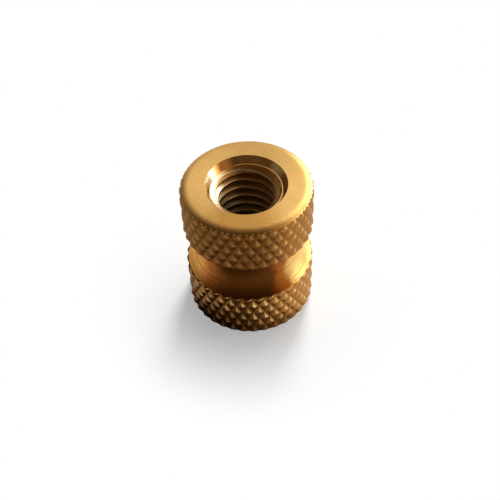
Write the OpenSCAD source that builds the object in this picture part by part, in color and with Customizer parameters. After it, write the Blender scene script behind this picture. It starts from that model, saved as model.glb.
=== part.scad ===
// Threaded insert: one turned brass body with two diamond-knurled bands, a concave
// waist between them, and a countersunk bore that carries the internal thread.
// It stands on its lower end, with the thread axis along +Z.

/* [Body] */
// Diameter over the knurl crests
body_d = 11.8; // [10.5:0.1:16]
// Length from end face to end face
body_len = 14; // [12:0.1:20]
// Radius of the turned rounding at both ends
edge_radius = 1.2; // [0.9:0.05:1.4]
// Height that the rounding takes from the knurled side
edge_drop = 0.4; // [0.2:0.05:0.6]

/* [Knurl] */
// Length of the upper knurled band, up to the upper end face
upper_band_len = 4.6; // [3.5:0.1:5.5]
// Length of the lower knurled band, up from the lower end face
lower_band_len = 5; // [3.5:0.1:5.5]
// Number of diamonds round the body
knurl_teeth = 35; // [24:1:44]
// Angle between a knurl groove and the axis
knurl_angle = 30; // [25:0.5:45]
// Angle between the two walls of a knurl groove
groove_angle = 120; // [90:5:130]
// Width of the flat that is left along the top of each knurl ridge
crest_flat = 0.3; // [0:0.01:0.4]
// Turn of the knurl round the axis
knurl_turn = 3; // [0:0.5:10]
// Height of one row of diamonds above the lower end face
knurl_row_z = 4.05; // [0:0.05:14]

/* [Waist] */
// Depth of the concave waist below the knurl crests
waist_depth = 1.1; // [0.7:0.05:1.4]

/* [Bore] */
// Diameter of the bore at the thread crests
bore_d = 5; // [4:0.1:5.5]
// Diameter of the countersink at the end face
mouth_d = 7.3; // [6.7:0.1:8]
// Width of the countersink's steep cone, seen from above
seat_width = 0.45; // [0.2:0.05:0.6]
// Depth of the steep cone
seat_depth = 0.65; // [0.4:0.05:0.9]
// Further depth of the shallow cone that leads into the thread
lead_depth = 0.4; // [0.2:0.05:0.8]

/* [Hidden] */
$fn = 120;

overrun = 1;                        // how far a cutter runs past the surface that it cuts
body_r = body_d / 2;
edge_centre_r = body_r - sqrt(pow(edge_radius, 2) - pow(edge_radius - edge_drop, 2));

waist_low = lower_band_len;
waist_high = body_len - upper_band_len;
waist_half = (waist_high - waist_low) / 2;
waist_radius = (pow(waist_half, 2) + pow(waist_depth, 2)) / (2 * waist_depth);

diamond_width = PI * body_d / knurl_teeth;
row_step = diamond_width / tan(knurl_angle) / 2;
groove_spacing = diamond_width * cos(knurl_angle);
knurl_low = knurl_row_z - 2 * row_step * ceil((knurl_row_z + overrun) / row_step / 2);
row_count = ceil((body_len + overrun - knurl_low) / row_step);
points_round = 2 * knurl_teeth;
point_r = body_r + crest_flat / 2 / tan(groove_angle / 2);         // where full points would be
groove_r = point_r - groove_spacing / 2 / tan(groove_angle / 2);

// Outline of the turned blank to the right of the axis: a bar with rounded ends and the waist cut in
module blank_outline() {
    difference() {
        intersection() {
            square([body_r, body_len]);
            union() {
                square([edge_centre_r, body_len]);
                translate([0, edge_drop]) square([body_r, body_len - 2 * edge_drop]);
                for (z = [edge_radius, body_len - edge_radius])
                    translate([edge_centre_r, z]) circle(r = edge_radius);
            }
        }
        translate([body_r - waist_depth + waist_radius, (waist_low + waist_high) / 2])
            circle(r = waist_radius);
    }
}

// One point of the knurl lattice: points and groove crossings take turns along a row and up a column
function knurl_point(row, place) =
    let (r = (row + place) % 2 == 0 ? point_r : groove_r, a = knurl_turn + 360 * place / points_round)
    [r * cos(a), r * sin(a), knurl_low + row * row_step];

// The two facets of one lattice cell, folded along the groove that crosses it
function cell_facets(row, place) =
    let (
        next = (place + 1) % points_round,
        low_a = row * points_round + place,
        low_b = row * points_round + next,
        high_a = low_a + points_round,
        high_b = low_b + points_round
    )
    (row + place) % 2 == 0
        ? [[low_a, high_a, low_b], [low_b, high_a, high_b]]
        : [[low_a, high_a, high_b], [low_a, high_b, low_b]];

// A bar that is knurled from end to end, longer than the body
module knurled_bar() {
    lattice = [for (row = [0:row_count], place = [0:points_round - 1]) knurl_point(row, place)];
    facets = [for (row = [0:row_count - 1], place = [0:points_round - 1]) each cell_facets(row, place)];
    low_end = [for (place = [0:points_round - 1]) place];
    high_end = [for (place = [points_round - 1:-1:0]) row_count * points_round + place];
    polyhedron(points = lattice, faces = concat(facets, [low_end, high_end]), convexity = 6);
}

// Outline of what the drill, the countersink and the thread's tapping drill take out
module bore_outline() {
    mouth_r = mouth_d / 2;
    seat_r = mouth_r - seat_width;
    bore_r = bore_d / 2;
    lead_end = seat_depth + lead_depth;
    polygon([
        [0, -overrun],
        [mouth_r, -overrun],
        [mouth_r, 0],
        [seat_r, seat_depth],
        [bore_r, lead_end],
        [bore_r, body_len - lead_end],
        [seat_r, body_len - seat_depth],
        [mouth_r, body_len],
        [mouth_r, body_len + overrun],
        [0, body_len + overrun]
    ]);
}

// The whole insert, turned and knurled from one bar
module insert_body() {
    color([0.78, 0.57, 0.27])
    difference() {
        intersection() {
            rotate_extrude() blank_outline();
            knurled_bar();
        }
        rotate_extrude() bore_outline();
    }
}

insert_body();
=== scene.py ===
"""Threaded insert: the detailed brass body, its finishes, and a plain studio round it."""

import math

import bpy
import numpy as np
from mathutils import Matrix, Vector


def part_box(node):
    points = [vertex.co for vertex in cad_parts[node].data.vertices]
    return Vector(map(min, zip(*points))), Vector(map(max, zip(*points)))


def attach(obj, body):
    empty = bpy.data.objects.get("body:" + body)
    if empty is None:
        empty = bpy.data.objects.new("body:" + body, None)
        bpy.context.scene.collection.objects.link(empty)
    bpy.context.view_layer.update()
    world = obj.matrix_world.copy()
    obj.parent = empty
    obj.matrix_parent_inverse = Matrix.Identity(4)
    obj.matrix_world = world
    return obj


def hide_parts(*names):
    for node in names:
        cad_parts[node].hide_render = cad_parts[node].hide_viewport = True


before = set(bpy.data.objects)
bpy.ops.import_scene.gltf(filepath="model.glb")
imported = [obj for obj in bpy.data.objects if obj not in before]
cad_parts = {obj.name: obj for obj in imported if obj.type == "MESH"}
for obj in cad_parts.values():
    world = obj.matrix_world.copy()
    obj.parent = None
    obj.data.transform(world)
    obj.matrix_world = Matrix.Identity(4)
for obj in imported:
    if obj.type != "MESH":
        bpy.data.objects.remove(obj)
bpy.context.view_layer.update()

MM = 0.001

# ---- Sizes in millimetres, the same as the part's own; the overall ones come from the part in model.glb ----
BODY_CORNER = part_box("insert_body")[1]
BODY_R = BODY_CORNER.x / MM
BODY_LEN = BODY_CORNER.z / MM
EDGE_RADIUS = 1.2
EDGE_DROP = 0.4
UPPER_BAND_LEN = 4.6
LOWER_BAND_LEN = 5.0
WAIST_DEPTH = 1.1
KNURL_TEETH = 35
KNURL_ANGLE = math.radians(30)
GROOVE_ANGLE = math.radians(120)
CREST_FLAT = 0.3
KNURL_TURN = math.radians(3)
KNURL_ROW_Z = 4.05
MOUTH_R = 3.65
SEAT_WIDTH = 0.45
SEAT_DEPTH = 0.65
BORE_R = 2.5
LEAD_DEPTH = 0.4

# ---- Details that the part itself has not ----
DIAMOND_WEAR = 0.22          # largest share of its height that a diamond has lost
WEAR_SEED = 5
SEAT_LAND = 0.05             # small flat ring that the cutter left between the two cones

# ---- Thread: M6 coarse, right-hand ----
THREAD_PITCH = 1.0
THREAD_ROOT_R = 3.0
THREAD_CREST_HALF = THREAD_PITCH / 8
THREAD_FLANK = (THREAD_ROOT_R - BORE_R) * math.tan(math.radians(30))
THREAD_START_Z = 0.74        # height of a crest at angle 0

# ---- Sizes that follow from those above ----
EDGE_CENTRE_R = BODY_R - math.sqrt(EDGE_RADIUS**2 - (EDGE_RADIUS - EDGE_DROP) ** 2)
WAIST_LOW = LOWER_BAND_LEN
WAIST_HIGH = BODY_LEN - UPPER_BAND_LEN
WAIST_MID = (WAIST_LOW + WAIST_HIGH) / 2
WAIST_HALF = (WAIST_HIGH - WAIST_LOW) / 2
WAIST_RADIUS = (WAIST_HALF**2 + WAIST_DEPTH**2) / (2 * WAIST_DEPTH)
DIAMOND_WIDTH = 2 * math.pi * BODY_R / KNURL_TEETH
KNURL_PERIOD = DIAMOND_WIDTH / math.tan(KNURL_ANGLE)
POINT_R = BODY_R + CREST_FLAT / 2 / math.tan(GROOVE_ANGLE / 2)
GROOVE_R = POINT_R - DIAMOND_WIDTH * math.cos(KNURL_ANGLE) / 2 / math.tan(GROOVE_ANGLE / 2)
SEAT_R = MOUTH_R - SEAT_WIDTH
LOSSES = np.random.default_rng(WEAR_SEED).random((KNURL_TEETH, KNURL_TEETH)) ** 2

# ---- Mesh fineness ----
CELLS_PER_TOOTH = 10
ROUND_OUT = KNURL_TEETH * CELLS_PER_TOOTH
ROUND_IN = ROUND_OUT // 2
EDGE_STEPS = 14
WAIST_BORDER = 0.45          # height at each end of the waist that has finer rows
BAND_BORDER = 0.15           # height at each band's end that has them too
BORDER_ROWS = 16
WAIST_ROWS = 30
LEAST_GAP = 0.004            # of two rows closer together than this, the upper one is left out
FACE_RINGS = 4
MOUTH_MARGIN = 0.12          # the end face halves its count of points this far outside the mouth
CONE_RINGS = 7
FLANK_STEPS = 4
THREAD_CORNER = 0.012        # the thread has a row this far on either side of each corner
SPARE_BELOW, SPARE_ABOVE = 2, 1     # turns of the thread's rows beyond the ends of its wall
SHARP_ANGLE = math.radians(24)

# ---- Zones, in the order of the body's materials ----
FACE, KNURL, WAIST, SINK, THREAD = range(5)
ZONE_INSET = 0.12            # the knurl's finish runs a little way into its neighbours


# ---------------------------------------------------------------- surfaces
def envelope_radius(z):
    """Radius of the turned blank at height z: rounded ends, straight bands and the concave waist."""
    from_end = np.minimum(z, BODY_LEN - z)
    rise = np.clip(EDGE_RADIUS - from_end, 0, EDGE_RADIUS)
    arc = EDGE_CENTRE_R + np.sqrt(np.maximum(EDGE_RADIUS**2 - rise**2, 0))
    r = np.where(from_end < EDGE_DROP, np.minimum(arc, BODY_R), BODY_R)
    off = z - WAIST_MID
    waist = BODY_R - WAIST_DEPTH + WAIST_RADIUS - np.sqrt(np.maximum(WAIST_RADIUS**2 - off**2, 0))
    return np.where(np.abs(off) < WAIST_HALF, np.minimum(waist, r), r)


def knurl_radius(angle, z):
    """Radius of the diamond knurl: the lower of two families of V ridges that cross."""
    around = (angle - KNURL_TURN) * KNURL_TEETH / (2 * math.pi)
    along = (z - KNURL_ROW_Z) / KNURL_PERIOD
    ridge_a = 1 - 2 * np.abs(np.mod(around + along + 0.5, 1) - 0.5)
    ridge_b = 1 - 2 * np.abs(np.mod(around - along + 0.5, 1) - 0.5)
    # each diamond is worn down by its own amount; its number repeats once round the body
    number_a = np.mod(np.floor(around + along + 0.5), KNURL_TEETH).astype(int)
    number_b = np.mod(np.floor(around - along + 0.5), KNURL_TEETH).astype(int)
    height = 1 - DIAMOND_WEAR * LOSSES[number_a, number_b]
    return GROOVE_R + (POINT_R - GROOVE_R) * np.minimum(ridge_a, ridge_b) * height


def outer_radius(angle, z):
    """Radius of the finished outside: the knurl where it lies below the turned blank."""
    return np.minimum(envelope_radius(z), knurl_radius(angle, z))


def thread_radius(angle, z):
    """Radius of the thread's wall: crests at the bore, 60 degree flanks, narrow flat roots."""
    turn = (z - THREAD_START_Z) / THREAD_PITCH - angle / (2 * math.pi)
    off = np.abs(np.mod(turn + 0.5, 1) - 0.5) * THREAD_PITCH
    share = np.clip((off - THREAD_CREST_HALF) / THREAD_FLANK, 0, 1)
    return BORE_R + (THREAD_ROOT_R - BORE_R) * share


def lead_radius(z):
    """Radius of the shallow lead-in cones below the steep ones, and of the bore between them."""
    depth = np.minimum(z, BODY_LEN - z)
    return np.interp(depth, [SEAT_DEPTH, SEAT_DEPTH + LEAD_DEPTH], [SEAT_R - SEAT_LAND, BORE_R])


def inner_radius(angle, z):
    """Radius of the threaded wall: the lead-in cone where it lies outside the thread."""
    return np.maximum(thread_radius(angle, z), lead_radius(z))


# ---------------------------------------------------------------- mesh
def angles(count):
    """That many equal steps round the body, from 0 on."""
    return np.arange(count) * 2 * math.pi / count


class Skin:
    """Collects rings of points and the triangles between them."""

    def __init__(self):
        self.points = []
        self.faces = []
        self.zones = []
        self.count = 0

    def keep(self, points):
        """Stores points and gives their numbers."""
        start = self.count
        self.points.append(points)
        self.count += len(points)
        return np.arange(start, self.count)

    def ring(self, angle, r, z):
        """Stores one level ring. The radius may be one number, or one for each angle."""
        r = np.broadcast_to(r, angle.shape)
        z = np.full(angle.shape, z, float)
        return self.keep(np.stack([r * np.cos(angle), r * np.sin(angle), z], axis=1))

    def add(self, tris, zone):
        """Stores triangles that have one zone's finish."""
        self.faces.append(tris)
        self.zones.append(np.full(len(tris), zone))

    def strip(self, a, b, zone, lean=None):
        """Triangles between two rings of the same count. lean picks the diagonal of each cell."""
        a2, b2 = np.roll(a, -1), np.roll(b, -1)
        if lean is None:
            lean = np.zeros(len(a), bool)
        first = np.where(lean[:, None], np.stack([a, b, a2], 1), np.stack([a, b, b2], 1))
        second = np.where(lean[:, None], np.stack([a2, b, b2], 1), np.stack([a, b2, a2], 1))
        self.add(np.concatenate([first, second]), zone)

    def inward(self, outer, inner, zone, upper):
        """A strip from an outer ring in to an inner one, facing up at the upper end and down below."""
        if upper:
            self.strip(inner, outer, zone)
        else:
            self.strip(outer, inner, zone)

    def halve(self, fine, coarse, zone, flip):
        """Triangles between a ring and one with half as many points."""
        f0, f1, f2 = fine[0::2], fine[1::2], np.roll(fine[0::2], -1)
        c0, c1 = coarse, np.roll(coarse, -1)
        cells = ((f0, c0, f1), (c0, c1, f1), (f1, c1, f2))
        tris = np.concatenate([np.stack(cell, 1) for cell in cells])
        self.add(tris[:, ::-1] if flip else tris, zone)


def outer_heights():
    """Heights of the rings down the outside, from the upper end's edge arc to the lower one's."""
    sweep = math.acos((EDGE_RADIUS - EDGE_DROP) / EDGE_RADIUS)
    arc = EDGE_RADIUS - EDGE_RADIUS * np.cos(np.linspace(0, sweep, EDGE_STEPS + 1))
    step = KNURL_PERIOD / CELLS_PER_TOOTH
    first = math.ceil((EDGE_DROP - KNURL_ROW_Z) / step)
    last = math.floor((BODY_LEN - EDGE_DROP - KNURL_ROW_Z) / step)
    lattice = KNURL_ROW_Z + step * np.arange(first, last + 1)
    lattice = lattice[(lattice < WAIST_LOW - BAND_BORDER) | (lattice > WAIST_HIGH + BAND_BORDER)]
    fine = np.linspace(-BAND_BORDER, WAIST_BORDER, BORDER_ROWS)
    inside = np.linspace(WAIST_LOW + WAIST_BORDER, WAIST_HIGH - WAIST_BORDER, WAIST_ROWS)[1:-1]
    heights = np.concatenate([arc, lattice, WAIST_LOW + fine, inside, WAIST_HIGH - fine, BODY_LEN - arc])
    heights = np.unique(np.round(heights, decimals=5))
    apart = np.concatenate([[True], np.diff(heights) > LEAST_GAP])
    return heights[apart][::-1]


def outer_zone(z):
    """The zone that a row of the outside belongs to, from its height."""
    if min(z, BODY_LEN - z) < EDGE_DROP - ZONE_INSET:
        return FACE
    return WAIST if WAIST_LOW + ZONE_INSET < z < WAIST_HIGH - ZONE_INSET else KNURL


def build_outside(skin):
    """The outside, from the ring where the upper end face meets its edge to the same ring below."""
    angle = angles(ROUND_OUT)
    half_cell = math.pi / ROUND_OUT
    heights = outer_heights()
    radii = [outer_radius(angle, z) for z in heights]
    rings = [skin.ring(angle, r, z) for r, z in zip(radii, heights)]
    for i in range(1, len(rings)):
        # each cell folds on the diagonal that lies nearer to the true surface
        mid_z = (heights[i] + heights[i - 1]) / 2
        middle = outer_radius(angle + half_cell, mid_z)
        across = (radii[i - 1] + np.roll(radii[i], -1)) / 2
        other = (np.roll(radii[i - 1], -1) + radii[i]) / 2
        lean = np.abs(other - middle) < np.abs(across - middle)
        skin.strip(rings[i - 1], rings[i], outer_zone(mid_z), lean)
    return rings[0], rings[-1]


def build_end_face(skin, edge_ring, z, upper):
    """The flat ring from the rounded edge in to the mouth of the countersink."""
    outer = edge_ring
    for r in np.linspace(EDGE_CENTRE_R, MOUTH_R + MOUTH_MARGIN, FACE_RINGS + 1)[1:]:
        ring = skin.ring(angles(ROUND_OUT), r, z)
        skin.inward(outer, ring, FACE, upper)
        outer = ring
    mouth = skin.ring(angles(ROUND_OUT)[::2], MOUTH_R, z)
    skin.halve(outer, mouth, FACE, flip=not upper)
    return mouth


def thread_offsets():
    """Heights of the rows within one pitch, from a crest's middle: closer together at the corners."""
    crest_end = THREAD_CREST_HALF
    flank_end = THREAD_CREST_HALF + THREAD_FLANK
    flank = np.linspace(crest_end + THREAD_CORNER, flank_end - THREAD_CORNER, FLANK_STEPS + 1)
    half = np.concatenate([[0, crest_end - THREAD_CORNER], flank, [flank_end + THREAD_CORNER]])
    return np.concatenate([half, [THREAD_PITCH / 2], (THREAD_PITCH - half[1:])[::-1]])


def build_thread(skin):
    """The threaded wall between the two steep cones, as rows that climb with the thread."""
    angle = np.arange(ROUND_IN + 1) * 2 * math.pi / ROUND_IN
    climb = THREAD_PITCH * angle / (2 * math.pi)
    offsets = thread_offsets()
    low, high = SEAT_DEPTH, BODY_LEN - SEAT_DEPTH
    # the rows run past both ends of the wall, and what lies beyond them is brought back to the end
    first_turn = math.floor((low - THREAD_START_Z) / THREAD_PITCH) - SPARE_BELOW
    last_turn = math.ceil((high - THREAD_START_Z) / THREAD_PITCH) + SPARE_ABOVE
    rows = []
    for turn in range(first_turn, last_turn + 1):
        for offset in offsets:
            z = np.clip(THREAD_START_Z + turn * THREAD_PITCH + offset + climb, low, high)
            r = inner_radius(angle, z)
            rows.append(np.stack([r * np.cos(angle), r * np.sin(angle), z], axis=1))
    # the last column is the first one, a pitch higher, so it is left out and the first one is used again
    points = np.array(rows)[:, :-1].reshape(-1, 3)
    index = skin.keep(points).reshape(len(rows), ROUND_IN)
    wrapped = np.roll(index[:, 0], -len(offsets))
    index = np.concatenate([index, wrapped[:, None]], axis=1)[: len(rows) - len(offsets)]
    a, b = index[:-1, :-1], index[1:, :-1]
    a2, b2 = index[:-1, 1:], index[1:, 1:]
    first = np.stack([a, b, a2], -1).reshape(-1, 3)
    second = np.stack([a2, b, b2], -1).reshape(-1, 3)
    skin.add(np.concatenate([first, second]), THREAD)
    return index[0, :-1], index[-1, :-1]


def build_cone(skin, mouth, seat, upper):
    """The steep cone between the mouth and the ring where the threaded wall begins, with the flat land."""
    outer = mouth
    for share in np.linspace(0, 1, CONE_RINGS + 1)[1:]:
        depth = share * SEAT_DEPTH
        z = BODY_LEN - depth if upper else depth
        ring = skin.ring(angles(ROUND_IN), MOUTH_R + share * (SEAT_R - MOUTH_R), z)
        skin.inward(outer, ring, SINK, upper)
        outer = ring
    skin.inward(outer, seat, SINK, upper)


def build_body(materials):
    """One closed mesh of the whole insert."""
    skin = Skin()
    top_edge, bottom_edge = build_outside(skin)
    top_mouth = build_end_face(skin, top_edge, BODY_LEN, True)
    bottom_mouth = build_end_face(skin, bottom_edge, 0.0, False)
    low_seat, high_seat = build_thread(skin)
    build_cone(skin, top_mouth, high_seat, True)
    build_cone(skin, bottom_mouth, low_seat, False)

    points = np.concatenate(skin.points)
    tris = np.concatenate(skin.faces)
    zones = np.concatenate(skin.zones)
    # points that fell together where the thread's rows were brought back become one
    rounded = np.round(points, decimals=6)
    first, same = np.unique(rounded, axis=0, return_index=True, return_inverse=True)[1:]
    points, tris = points[first], same.reshape(-1)[tris]
    real = (tris[:, 0] != tris[:, 1]) & (tris[:, 1] != tris[:, 2]) & (tris[:, 2] != tris[:, 0])
    tris, zones = tris[real], zones[real]
    used, tris = np.unique(tris, return_inverse=True)
    points, tris = points[used], tris.reshape(-1, 3)

    mesh = bpy.data.meshes.new("insert_visual")
    mesh.from_pydata((points * MM).tolist(), [], tris.tolist())
    mesh.validate()
    for material in materials:
        mesh.materials.append(material)
    mesh.polygons.foreach_set("material_index", zones.astype(np.int32))
    mesh.polygons.foreach_set("use_smooth", np.ones(len(tris), bool))
    mesh.set_sharp_from_angle(angle=SHARP_ANGLE)
    mesh.update()
    body = bpy.data.objects.new("insert_visual", mesh)
    bpy.context.scene.collection.objects.link(body)
    return body


# ---------------------------------------------------------------- node trees
COLOUR_A, COLOUR_B, COLOUR_OUT = 6, 7, 2     # a Mix node's sockets when it mixes colours
VECTOR_A, VECTOR_B, VECTOR_OUT = 4, 5, 1     # and when it mixes vectors
QUARTER_TURN = 0.25


class Nodes:
    """A short way to write the node tree of a material or a world. Most methods give a node's output."""

    def __init__(self, owner):
        owner.use_nodes = True
        self.owner = owner
        self.tree = owner.node_tree
        self.tree.nodes.clear()

    def add(self, kind, inputs=None, **settings):
        """Adds a node. An input is either another node's output or a value."""
        node = self.tree.nodes.new(kind)
        for key, value in settings.items():
            setattr(node, key, value)
        for key, value in (inputs or {}).items():
            if isinstance(value, bpy.types.NodeSocket):
                self.tree.links.new(value, node.inputs[key])
            else:
                node.inputs[key].default_value = value
        return node

    def calculate(self, operation, a, b=0.0):
        return self.add("ShaderNodeMath", {0: a, 1: b}, operation=operation).outputs[0]

    def plus(self, a, b):
        return self.calculate("ADD", a, b)

    def minus(self, a, b):
        return self.calculate("SUBTRACT", a, b)

    def times(self, a, b):
        return self.calculate("MULTIPLY", a, b)

    def larger(self, a, b):
        return self.calculate("MAXIMUM", a, b)

    def vector(self, operation, inputs, output="Vector"):
        return self.add("ShaderNodeVectorMath", inputs, operation=operation).outputs[output]

    def split(self, vector):
        return self.add("ShaderNodeSeparateXYZ", {0: vector}).outputs

    def combine(self, x, y, z):
        return self.add("ShaderNodeCombineXYZ", {0: x, 1: y, 2: z}).outputs[0]

    def ramp(self, value, low, high, out_low=0.0, out_high=1.0, **settings):
        """The range from low to high, turned into the range from out_low to out_high."""
        limits = {0: value, 1: low, 2: high, 3: out_low, 4: out_high}
        return self.add("ShaderNodeMapRange", limits, **settings).outputs[0]

    def smooth(self, value, low, high):
        """0 below low and 1 above high, with a soft change between them."""
        return self.ramp(value, low, high, interpolation_type="SMOOTHSTEP")

    def noise(self, vector, scale, detail, rough=0.55):
        inputs = {"Vector": vector, "Scale": scale, "Detail": detail, "Roughness": rough}
        return self.add("ShaderNodeTexNoise", inputs).outputs["Fac"]

    def mix(self, share, a, b):
        """Colour a where the share is 0 and colour b where it is 1."""
        inputs = {"Factor": share, COLOUR_A: a, COLOUR_B: b}
        return self.add("ShaderNodeMix", inputs, data_type="RGBA").outputs[COLOUR_OUT]

    def arc(self, angle, start, full, fade, end):
        """1 between two directions in degrees, with a soft edge on either side."""
        rise = self.smooth(angle, math.radians(start), math.radians(full))
        fall = self.smooth(angle, math.radians(fade), math.radians(end))
        return self.minus(rise, fall)

    def surface(self, kind, shader):
        """Ends the tree of a Material or a World in this shader, and gives what the tree belongs to."""
        self.add("ShaderNodeOutput" + kind, {"Surface": shader})
        return self.owner


class Finish(Nodes):
    """The node tree of a material, with the place in millimetres, and its radius and its angle round Z."""

    def __init__(self, name):
        super().__init__(bpy.data.materials.new(name))
        place = self.add("ShaderNodeTexCoord").outputs["Object"]
        self.place = self.vector("SCALE", {0: place, "Scale": 1 / MM})
        self.x, self.y, self.z = self.split(self.place)
        self.r = self.calculate("SQRT", self.plus(self.times(self.x, self.x), self.times(self.y, self.y)))
        self.angle = self.calculate("ARCTAN2", self.y, self.x)

    def side(self, degrees, begins, full):
        """1 on the side of the body at that angle, 0 on the far side."""
        near = self.calculate("COSINE", self.minus(self.angle, math.radians(degrees)))
        return self.smooth(near, begins, full)

    def tool_marks(self, along, fineness, reach, detail, rough=0.55):
        """Noise in lines that run round the body: it changes fast with along, and hardly with the angle."""
        cosine = self.times(self.calculate("COSINE", self.angle), reach)
        sine = self.times(self.calculate("SINE", self.angle), reach)
        marks = self.combine(self.times(along, fineness), cosine, sine)
        return self.noise(marks, scale=1.0, detail=detail, rough=rough)

    def diamond_shade(self):
        """A value from 0 to 1 that belongs to each diamond of the knurl."""
        around = self.times(self.minus(self.angle, KNURL_TURN), KNURL_TEETH / (2 * math.pi))
        along = self.calculate("DIVIDE", self.minus(self.z, KNURL_ROW_Z), KNURL_PERIOD)
        numbers = []
        for across in (self.plus(around, along), self.minus(around, along)):
            number = self.calculate("FLOOR", self.plus(across, 0.5))
            numbers.append(self.calculate("FLOORED_MODULO", number, KNURL_TEETH))
        return self.add("ShaderNodeTexWhiteNoise", {"Vector": self.combine(*numbers, 0.0)}).outputs["Value"]

    def bump(self, height, depth, under=None):
        """Relief that is depth mm deep, on top of the relief under it if there is one."""
        inputs = {"Height": height, "Distance": depth * MM}
        if under is not None:
            inputs["Normal"] = under
        return self.add("ShaderNodeBump", inputs).outputs[0]

    def brass(self, colour, roughness, normal, turned=0.0):
        """Bare brass. turned is how far its highlights stretch across the marks of the lathe tool."""
        inputs = {"Metallic": 1.0, "Roughness": roughness, "Base Color": colour, "Normal": normal}
        inputs["Specular Tint"] = EDGE_TINT
        inputs["Anisotropic"] = turned
        inputs["Anisotropic Rotation"] = QUARTER_TURN
        inputs["Tangent"] = self.add("ShaderNodeTangent", direction_type="RADIAL", axis="Z").outputs[0]
        return self.surface("Material", self.add("ShaderNodeBsdfPrincipled", inputs).outputs[0])


# ---------------------------------------------------------------- materials
EDGE_TINT = (1.0, 0.86, 0.66, 1)
BRASS = (0.78, 0.50, 0.172, 1)
# warmer brass for random clouds, for painted shade on the face's front, and for the lead-in cones
BRASS_WARM = (0.63, 0.34, 0.09, 1)
# brown for random grain on the face, and for painted shade on the front left of its edge
RIM_BROWN = (0.42, 0.21, 0.06, 1)
BRASS_PALE = (0.84, 0.64, 0.36, 1)
# a darker orange painted reflection on the back left of the countersink
SINK_REFLECTION_ORANGE = (0.46, 0.20, 0.06, 1)
# the colour of the painted highlight on the countersink, the lead-in cones and the first turns
BRASS_HIGHLIGHT = (0.95, 0.86, 0.64, 1)
THREAD_CREST = (0.80, 0.64, 0.42, 1)
THREAD_FLANK_BRASS = (0.38, 0.21, 0.07, 1)
THREAD_DEEP = (0.30, 0.22, 0.12, 1)
WAIST_LIGHT = (0.88, 0.46, 0.135, 1)
WAIST_DEEP = (0.78, 0.35, 0.08, 1)
# a painted orange reflection on the waist either side of its front
WAIST_REFLECTION_ORANGE = (0.48, 0.15, 0.025, 1)
# dark brown for the waist's fine tool lines, and for painted shade across its front
WAIST_LINES_AND_SHADE = (0.14, 0.045, 0.008, 1)
# the painted highlight on the knurl's lit flanks, for the lower band and the upper one
LOWER_BAND_HIGHLIGHT = (1.0, 0.68, 0.30, 1)
UPPER_BAND_HIGHLIGHT = (0.95, 0.54, 0.18, 1)
# the knurl's rough flanks in painted light on the front right, for the upper band and the lighter lower one
UPPER_BAND_LIT_SIDE = (0.36, 0.15, 0.036, 1)
LOWER_BAND_LIT_SIDE = (0.41, 0.18, 0.042, 1)
# painted shade on the knurl's front left and left
KNURL_PAINTED_SHADE = (0.15, 0.055, 0.011, 1)
# the knurl's rough flanks in painted shade, away from the front right
KNURL_SHADED_SIDE = (0.22, 0.08, 0.014, 1)

# sides with painted light or shade of their own: the direction in degrees from +X, then the cosines of the
# angles from it where it begins and where it is full; with a number over 1 it is nowhere full
FACE_SHADE_SIDE = (-98, 0.6, 1.05)            # painted shade on the front of the end face
RIM_SHADE_SIDE = (-125, 0.0, 0.6)         # painted shade on the front left of its edge
SHADED_KNURL_FRONT = (-130, 0.1, 0.75)          # painted shade on the front left of the upper band
SHADED_KNURL_LEFT = (-190, 0.55, 0.9)           # painted shade on the left of both bands
LIT_KNURL_SIDE = (-35, 0.35, 0.95)           # painted light on the front right of both bands
LIT_WAIST_SIDE = (-20, 0.5, 0.8)             # painted light: yellower brass on the waist's right front
SINK_HIGHLIGHT_SIDE = (195, 0.6, 0.95)           # painted highlight on the left of the steep cone
LEAD_HIGHLIGHT_SIDE = (195, 0.2, 0.9)          # and on the lead-in cone and the first turns

# arcs in the same degrees, for painted shade and painted reflections: where each begins, is full, begins to
# fade, and ends
WAIST_REFLECTION_ARC = (-156, -136, -55, -47)
WAIST_SHADE_ARC = (-142, -112, -71, -58)
SINK_REFLECTION_ARC = (95, 118, 138, 156)
EMBER_WANDER = 0.07          # radians that the waist's arcs wander by
EMBER_FRAY = 0.03            # radians that they fray by, along the lines

# ranges of a noise: nearly all of its values lie in the first, and the others cut more of them off
NOISE_RANGE = (0.3, 0.7)
CLOUD_RANGE = (0.35, 0.7)
NARROW_RANGE = (0.35, 0.65)
DARK_LINE_RANGE = (0.53, 0.61)

# places in millimetres: depths below the upper end where the thread's colours begin and are full
BROWN_DEPTHS = (5.0, 1.2)
# the first turns' painted highlight
FIRST_TURNS = (3.0, 2.0)
LEAD_DEPTHS = (1.25, 1.05)   # the lead-in cones' finish, from the end that is nearer
LEAD_FADE = 0.2              # it begins this far outside the bore and is full this far inside the seat
RIM_FADE = 0.5               # width over which the painted shade on the edge comes in
UNLIT_GROOVE_RISE = 0.02           # a flank has none of the painted highlight up to this height above the grooves
FULL_LIT_TIP = 0.04             # and all of it from this far below the tips
LIT_EDGE_RISE = 0.12             # a full step of the patch noise would move the painted highlight's edge by this much

# the side mask's value at which the painted highlight on the first turns begins, and is full
LEAD_HIGHLIGHT_RANGE = (0.5, 1.0)

# how far up the thread from a crest's middle its pale colour begins and ends, in turns
CREST_BEGINS = (0.03, 0.07)
CREST_ENDS = (0.12, 0.155)

# how a diamond's flank has to face to get the painted highlight: the lean round the body and the lean
# upward
FORWARD_LEAN = (0.02, 0.3)
UPWARD_LEAN = (-0.1, 0.2)
OTHER_UPWARD_LEAN = (-0.25, 0.15)
OTHER_SHINE = (0.12, 0.24)   # the other flanks' share of that painted highlight, at first and on the side with painted light
LEAST_SHINE = 0.4            # the dullest diamond's share of it

# shares of the second colour in a mix
CLOUD_SHARE = 0.3
GRAIN_SHARE = 0.26
RIM_SHADE_SHARE = 0.6
PAINTED_SHADE_SHARE = 0.8
LINE_SHARE = 0.65

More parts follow.
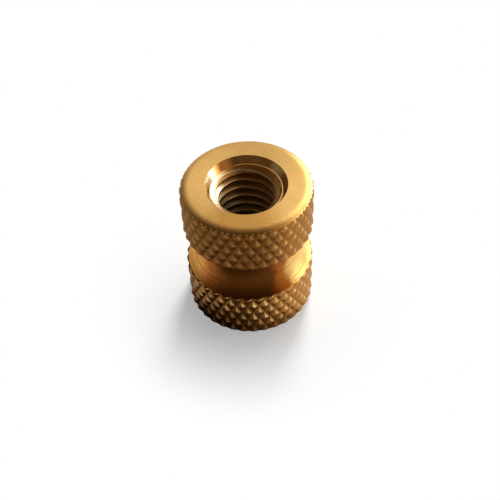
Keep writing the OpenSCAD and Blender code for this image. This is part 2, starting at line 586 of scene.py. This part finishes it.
# roughness: the lowest and the highest in each finish, and what the knurl's painted-shade sides add and
# rubbing takes
FACE_ROUGHNESS = (0.30, 0.42)
WAIST_ROUGHNESS = (0.30, 0.38)
SINK_ROUGHNESS = (0.12, 0.22)
THREAD_ROUGHNESS = (0.285, 0.35)
KNURL_LIT_FLANK_ROUGH, KNURL_ROUGH = 0.16, 0.32
SHADED_SIDE_ROUGHNESS = 0.16
LEAD_POLISH = 0.12

# relief in millimetres
GRAIN_DEPTH = 0.008
FACE_RING_DEPTH = 0.006
KNURL_GRAIN_DEPTH = 0.006
WAIST_LINE_DEPTH = 0.02
SINK_RING_DEPTH = 0.014
THREAD_RING_DEPTH = 0.02


def face_material():
    """Satin turned end face and its rounded edge, with painted shade on the front of the face and the front
    left of the edge.
    """
    n = Finish("brass_face")
    grain = n.noise(n.place, scale=6.0, detail=4.0)
    cloud = n.noise(n.place, scale=0.8, detail=3.0)
    # random warm clouds, and painted shade on the front of the face
    warm = n.plus(n.ramp(cloud, *CLOUD_RANGE, out_high=CLOUD_SHARE), n.side(*FACE_SHADE_SIDE))
    colour = n.mix(warm, BRASS, BRASS_WARM)
    colour = n.mix(n.ramp(grain, *NARROW_RANGE, out_high=GRAIN_SHARE), colour, RIM_BROWN)
    # painted shade on the front left of the rounded edge
    rim_shade = n.times(n.smooth(n.r, EDGE_CENTRE_R, EDGE_CENTRE_R + RIM_FADE), n.side(*RIM_SHADE_SIDE))
    colour = n.mix(n.times(rim_shade, RIM_SHADE_SHARE), colour, RIM_BROWN)
    # radius less height grows all the way from the bore out over the rounded edge
    rings = n.tool_marks(n.minus(n.r, n.z), fineness=14.0, reach=0.5, detail=4.0)
    roughness = n.ramp(grain, *NOISE_RANGE, *FACE_ROUGHNESS)
    normal = n.bump(grain, GRAIN_DEPTH, under=n.bump(rings, FACE_RING_DEPTH))
    return n.brass(colour, roughness, normal, turned=0.5)


def knurl_material():
    """Diamonds with a painted highlight on one flank each, painted shade on the front left and left,
    painted light on the front right.
    """
    n = Finish("brass_knurl")
    grain = n.noise(n.place, scale=5.0, detail=4.0)
    patch = n.noise(n.place, scale=1.1, detail=2.0)
    height = n.minus(n.r, n.times(n.minus(patch, 0.5), LIT_EDGE_RISE))
    # a painted highlight on the flank of each diamond that faces up and forward; the others stay rough
    facing_x, facing_y, facing_z = n.split(n.add("ShaderNodeTexCoord").outputs["Normal"])
    forward = n.minus(n.times(n.x, facing_y), n.times(n.y, facing_x))
    forward = n.calculate("DIVIDE", forward, n.r)
    lit_flank = n.times(n.smooth(forward, *FORWARD_LEAN), n.smooth(facing_z, *UPWARD_LEAN))
    # the other flanks get a weaker painted highlight, stronger on the side with painted light
    lit_side = n.side(*LIT_KNURL_SIDE)
    other = n.times(n.smooth(facing_z, *OTHER_UPWARD_LEAN), n.ramp(lit_side, 0.0, 1.0, *OTHER_SHINE))
    highlight_share = n.times(n.larger(lit_flank, other), n.smooth(height, GROOVE_R + UNLIT_GROOVE_RISE, BODY_R - FULL_LIT_TIP))
    highlight_share = n.times(highlight_share, n.ramp(n.diamond_shade(), 0.0, 1.0, out_low=LEAST_SHINE))
    upper = n.smooth(n.z, WAIST_LOW, WAIST_HIGH)
    # the rough flanks: painted light on the front right, painted shade away from it, lighter on the lower
    # band
    rough_colour = n.mix(lit_side, KNURL_SHADED_SIDE, n.mix(upper, LOWER_BAND_LIT_SIDE, UPPER_BAND_LIT_SIDE))
    # the painted highlight, brighter on the lower band
    colour = n.mix(highlight_share, rough_colour, n.mix(upper, LOWER_BAND_HIGHLIGHT, UPPER_BAND_HIGHLIGHT))
    # painted shade on the upper band's front left and both bands' left, rougher there too
    painted_shade = n.larger(n.times(n.side(*SHADED_KNURL_FRONT), upper), n.side(*SHADED_KNURL_LEFT))
    colour = n.mix(n.times(painted_shade, PAINTED_SHADE_SHARE), colour, KNURL_PAINTED_SHADE)
    roughness = n.ramp(highlight_share, 0.0, 1.0, KNURL_ROUGH, KNURL_LIT_FLANK_ROUGH)
    roughness = n.plus(roughness, n.times(painted_shade, SHADED_SIDE_ROUGHNESS))
    return n.brass(colour, roughness, n.bump(grain, KNURL_GRAIN_DEPTH))


def waist_material():
    """Turned waist with fine dark lines, painted shade in front, a painted orange reflection either side
    and yellower painted light on the right.
    """
    n = Finish("brass_waist")
    lines = n.tool_marks(n.z, fineness=13.0, reach=0.5, detail=4.0, rough=0.7)
    bands = n.tool_marks(n.z, fineness=2.5, reach=1.2, detail=3.0)
    grain = n.noise(n.place, scale=3.0, detail=3.0)
    cloud = n.noise(n.place, scale=0.5, detail=2.0)
    colour = n.mix(n.ramp(bands, *NOISE_RANGE), WAIST_LIGHT, WAIST_DEEP)
    # painted light: yellower brass on the right front
    colour = n.mix(n.side(*LIT_WAIST_SIDE), colour, BRASS)
    # the outlines of the painted shade and the painted reflection wander with the cloud, and fray along the
    # lines
    wavy = n.plus(n.angle, n.ramp(cloud, *NOISE_RANGE, -EMBER_WANDER, EMBER_WANDER))
    wavy = n.plus(wavy, n.ramp(lines, *NOISE_RANGE, -EMBER_FRAY, EMBER_FRAY))
    # a painted orange reflection either side of the front
    colour = n.mix(n.arc(wavy, *WAIST_REFLECTION_ARC), colour, WAIST_REFLECTION_ORANGE)
    # painted shade across the front
    colour = n.mix(n.arc(wavy, *WAIST_SHADE_ARC), colour, WAIST_LINES_AND_SHADE)
    colour = n.mix(n.times(n.smooth(lines, *DARK_LINE_RANGE), LINE_SHARE), colour, WAIST_LINES_AND_SHADE)
    roughness = n.ramp(grain, *NOISE_RANGE, *WAIST_ROUGHNESS)
    return n.brass(colour, roughness, n.bump(lines, WAIST_LINE_DEPTH), turned=0.95)


def sink_material():
    """Bright countersink with the tool's rings, a painted orange reflection at the back left and a painted
    highlight on the left.
    """
    n = Finish("brass_sink")
    rings = n.tool_marks(n.z, fineness=11.0, reach=0.5, detail=4.0, rough=0.65)
    cloud = n.noise(n.place, scale=1.3, detail=2.0)
    colour = n.mix(n.ramp(cloud, *NARROW_RANGE), BRASS_PALE, BRASS)
    # a darker orange painted reflection on the back left
    colour = n.mix(n.arc(n.angle, *SINK_REFLECTION_ARC), colour, SINK_REFLECTION_ORANGE)
    # a painted highlight on the left
    colour = n.mix(n.side(*SINK_HIGHLIGHT_SIDE), colour, BRASS_HIGHLIGHT)
    roughness = n.ramp(rings, *NOISE_RANGE, *SINK_ROUGHNESS)
    return n.brass(colour, roughness, n.bump(rings, SINK_RING_DEPTH))


def thread_material():
    """Thread: pale crests and brown flanks that turn grey down the bore, and the lead-in cones, with a
    painted highlight on the left of both.
    """
    n = Finish("brass_thread")
    grain = n.noise(n.place, scale=6.0, detail=3.0)
    # off is the distance up the thread from a crest's middle, in turns, from -0.5 to 0.5
    turn = n.calculate("DIVIDE", n.minus(n.z, THREAD_START_Z), THREAD_PITCH)
    turn = n.minus(turn, n.calculate("DIVIDE", n.angle, 2 * math.pi))
    off = n.minus(n.calculate("FRACT", n.plus(turn, 0.5)), 0.5)
    above = n.smooth(off, *CREST_BEGINS)
    crest = n.times(above, n.minus(1.0, n.smooth(off, *CREST_ENDS)))
    brown = n.smooth(n.z, *(BODY_LEN - depth for depth in BROWN_DEPTHS))
    colour = n.mix(crest, n.mix(brown, THREAD_DEEP, THREAD_FLANK_BRASS), THREAD_CREST)
    # a painted highlight on the left of the lead-in cone, and on the flanks next to it
    lit_lead_side = n.side(*LEAD_HIGHLIGHT_SIDE)
    first_turns = n.smooth(n.z, *(BODY_LEN - depth for depth in FIRST_TURNS))
    first_turns = n.times(first_turns, n.ramp(lit_lead_side, *LEAD_HIGHLIGHT_RANGE))
    colour = n.mix(n.times(above, first_turns), colour, BRASS_HIGHLIGHT)
    from_middle = n.calculate("ABSOLUTE", n.minus(n.z, BODY_LEN / 2))
    near_end = n.smooth(from_middle, *(BODY_LEN / 2 - depth for depth in LEAD_DEPTHS))
    lead = n.times(n.smooth(n.r, BORE_R + LEAD_FADE, SEAT_R - LEAD_FADE), near_end)
    # the lead-in cones in warm brass, with the painted highlight on the left
    colour = n.mix(lead, colour, n.mix(lit_lead_side, BRASS_WARM, BRASS_HIGHLIGHT))
    rings = n.tool_marks(n.z, fineness=14.0, reach=0.6, detail=3.0)
    roughness = n.minus(n.ramp(grain, *NOISE_RANGE, *THREAD_ROUGHNESS), n.times(lead, LEAD_POLISH))
    return n.brass(colour, roughness, n.bump(rings, THREAD_RING_DEPTH))


# ---------------------------------------------------------------- studio
CAMERA_LENS = 65.3
CAMERA_PLACE = Vector((0, -55.84, 69.56)) * MM
CAMERA_AIM = Vector((0.04, 0, 5.25)) * MM
CAMERA_TILT = math.radians(-2.95)

FLOOR_REACH = 6.0            # metres from the middle to each side
FLOOR_COLOUR = (0.9, 0.9, 0.9, 1)
SHADOW_RING = (5.0, 16.0)    # radii in mm between which the floor's shadow fades out
SHADOW_WHITE = 0.4           # share of plain white where the shadow is deepest
MIRRORED_RING = (6.5, 26.0)  # radii in mm between which the floor turns white in reflections

LAMP_AZIMUTH, LAMP_ELEVATION = 18, 42
LAMP_DISTANCE = 0.12
LAMP_SIDE = 0.03
LAMP_POWER = 0.17

ROOM_COLOUR = (0.09, 0.052, 0.024)
# azimuth (0 is behind the object, 90 to its right), elevation, inner and outer radius in degrees, radiance
GLOWS = [
    (4, 42, 12, 52, (0.79, 0.79, 0.77)),
    (43, 13, 12, 31, (4.8, 4.7, 4.5)),
    (51, 50, 8, 25, (2.0, 1.95, 1.75)),
    (88, 14, 8, 20, (5.0, 4.9, 4.7)),
    (108, 38, 8, 28, (0.8, 0.64, 0.4)),
    (130, 15, 5, 17, (0.5, 0.4, 0.3)),
    (-75, 8, 10, 40, (0.13, 0.12, 0.10)),
]


def direction(azimuth, elevation):
    """The way from the object to a place in the room, from the same two angles as the glows have."""
    a, e = math.radians(azimuth), math.radians(elevation)
    return Vector((math.sin(a) * math.cos(e), math.cos(a) * math.cos(e), math.sin(e)))


def make_camera():
    """The photograph's view: close, from about 50 degrees above, and a little tilted."""
    data = bpy.data.cameras.new("camera")
    camera = bpy.data.objects.new("camera", data)
    bpy.context.scene.collection.objects.link(camera)
    bpy.context.scene.camera = camera
    data.lens = CAMERA_LENS
    data.sensor_width = 36
    data.clip_start = 0.002
    data.clip_end = 50
    look = (CAMERA_AIM - CAMERA_PLACE).to_track_quat("-Z", "Y").to_matrix()
    turn = look @ Matrix.Rotation(CAMERA_TILT, 3, "Z")
    camera.matrix_world = Matrix.Translation(CAMERA_PLACE) @ turn.to_4x4()


def floor_material():
    """Pale matt floor with the object's shadow. Further out it is plain white, in metal and glass too."""
    n = Finish("studio_floor")
    matt = n.add("ShaderNodeBsdfDiffuse", {"Color": FLOOR_COLOUR}).outputs[0]
    white = n.add("ShaderNodeEmission", {"Color": (1, 1, 1, 1), "Strength": 1.0}).outputs[0]
    path = n.add("ShaderNodeLightPath").outputs
    unshadowed = n.ramp(n.smooth(n.r, *SHADOW_RING), 0.0, 1.0, out_low=SHADOW_WHITE)
    seen = n.times(path["Is Camera Ray"], unshadowed)
    mirrored = n.larger(path["Is Glossy Ray"], path["Is Transmission Ray"])
    mirrored = n.times(mirrored, n.smooth(n.r, *MIRRORED_RING))
    mix = n.add("ShaderNodeMixShader", {0: n.larger(seen, mirrored), 1: matt, 2: white})
    return n.surface("Material", mix.outputs[0])


def make_floor():
    """A wide level square under the object."""
    corners = [(-1, -1), (1, -1), (1, 1), (-1, 1)]
    mesh = bpy.data.meshes.new("studio_floor")
    mesh.from_pydata([(x * FLOOR_REACH, y * FLOOR_REACH, 0) for x, y in corners], [], [(0, 1, 2, 3)])
    mesh.materials.append(floor_material())
    floor = bpy.data.objects.new("studio_floor", mesh)
    bpy.context.scene.collection.objects.link(floor)


def make_lamp():
    """A soft square lamp, above and behind the object, that metal does not mirror."""
    data = bpy.data.lights.new("floor_key", "AREA")
    data.shape = "RECTANGLE"
    data.size, data.size_y = LAMP_SIDE, LAMP_SIDE
    data.energy = LAMP_POWER
    lamp = bpy.data.objects.new("floor_key", data)
    away = direction(LAMP_AZIMUTH, LAMP_ELEVATION)
    place = Vector((0, 0, BODY_LEN * MM / 2)) + away * LAMP_DISTANCE
    lamp.matrix_world = Matrix.Translation(place) @ away.to_track_quat("Z", "Y").to_matrix().to_4x4()
    lamp.visible_camera = False
    lamp.visible_glossy = False
    bpy.context.scene.collection.objects.link(lamp)


def make_world():
    """Soft light all round: a dim warm room with broad glows."""
    n = Nodes(bpy.data.worlds.new("studio"))
    towards = n.add("ShaderNodeTexCoord").outputs["Generated"]
    light = ROOM_COLOUR
    for azimuth, elevation, inner, outer, colour in GLOWS:
        centre = direction(azimuth, elevation)
        near = n.vector("DOT_PRODUCT", {0: towards, 1: centre}, output="Value")
        glow = n.smooth(near, math.cos(math.radians(outer)), math.cos(math.radians(inner)))
        light = n.vector("ADD", {0: light, 1: n.vector("SCALE", {0: colour, "Scale": glow})})
    path = n.add("ShaderNodeLightPath").outputs
    # the matt floor takes none of this light, so the object keeps a dark shadow in front
    strength = n.minus(1.0, path["Is Diffuse Ray"])
    # what stands behind the object is plain white
    behind = n.larger(path["Is Camera Ray"], path["Is Transmission Ray"])
    inputs = {"Factor": behind, VECTOR_A: light, VECTOR_B: (1, 1, 1)}
    colour = n.add("ShaderNodeMix", inputs, data_type="VECTOR").outputs[VECTOR_OUT]
    background = n.add("ShaderNodeBackground", {"Color": colour, "Strength": strength})
    bpy.context.scene.world = n.surface("World", background.outputs[0])


make_camera()
body = build_body([face_material(), knurl_material(), waist_material(), sink_material(), thread_material()])
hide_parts("insert_body")
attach(body, "root")
make_floor()
make_world()
make_lamp()
bpy.context.scene.view_settings.view_transform = "Standard"
